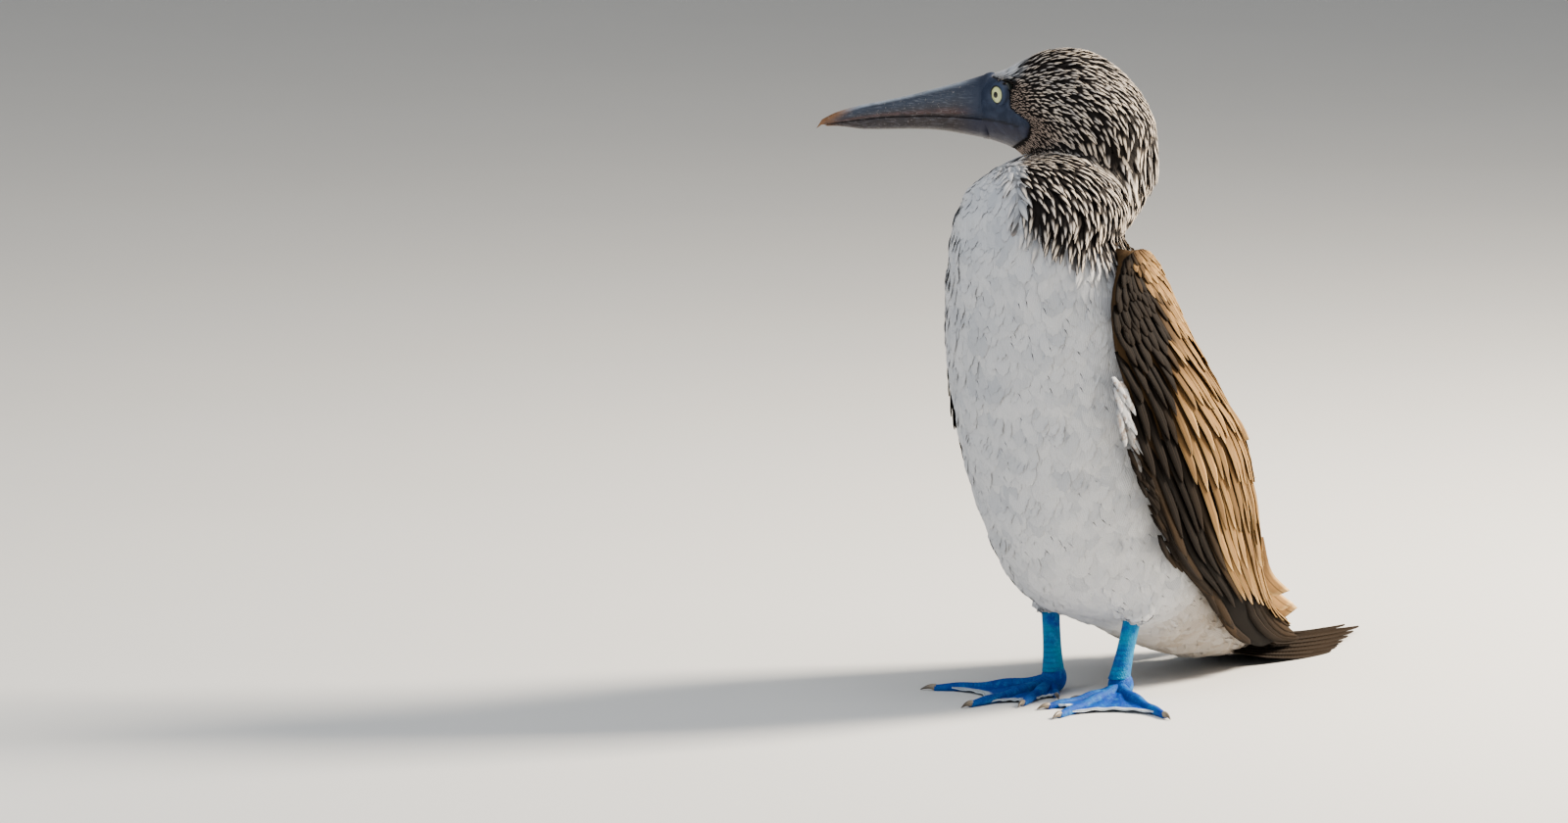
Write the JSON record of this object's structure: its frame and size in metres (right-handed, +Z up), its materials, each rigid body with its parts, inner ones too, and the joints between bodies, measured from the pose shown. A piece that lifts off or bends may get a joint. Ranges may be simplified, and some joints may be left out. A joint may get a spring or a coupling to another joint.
{
  "type": "blue-footed booby",
  "caption": "Life-size still model of a blue-footed booby standing upright, head turned over its right shoulder, wings folded.",
  "frame": {"origin": "middle of the bird's box, on the floor that it stands on", "axes": "+Z up, -Y the way the breast faces, +X the bird's left"},
  "size_m": [0.2502, 0.406, 0.3971],
  "materials": {
    "breast_feathers": "soft white body feathers with grey ripples",
    "hackle_feathers": "narrow brown hackles with pale buff tips",
    "wing_feathers": "brown feathers with tan edges",
    "tail_feathers": "dark brown feathers with pale shafts",
    "bill_horn": "blue-grey horn, brown at the tip",
    "eye_gloss": "wet, pale yellow iris with a small black pupil",
    "shank_skin": "turquoise skin with fine rings of scales",
    "web_skin": "bright blue skin with folds",
    "claw_horn": "grey-brown horn"
  },
  "bodies": {
    "root": {"torso": "breast_feathers", "thigh_left": "breast_feathers", "thigh_right": "breast_feathers", "head": "hackle_feathers", "neck": "hackle_feathers", "wing_left": "wing_feathers", "wing_right": "wing_feathers", "tail": "tail_feathers", "bill_upper": "bill_horn", "bill_lower": "bill_horn", "eye_left": "eye_gloss", "eye_right": "eye_gloss", "leg_left": "shank_skin", "leg_right": "shank_skin", "foot_left": "web_skin", "foot_right": "web_skin", "claw_left_1": "claw_horn", "claw_left_2": "claw_horn", "claw_left_3": "claw_horn", "claw_left_4": "claw_horn", "claw_right_1": "claw_horn", "claw_right_2": "claw_horn", "claw_right_3": "claw_horn", "claw_right_4": "claw_horn"}
  },
  "joints": []
}
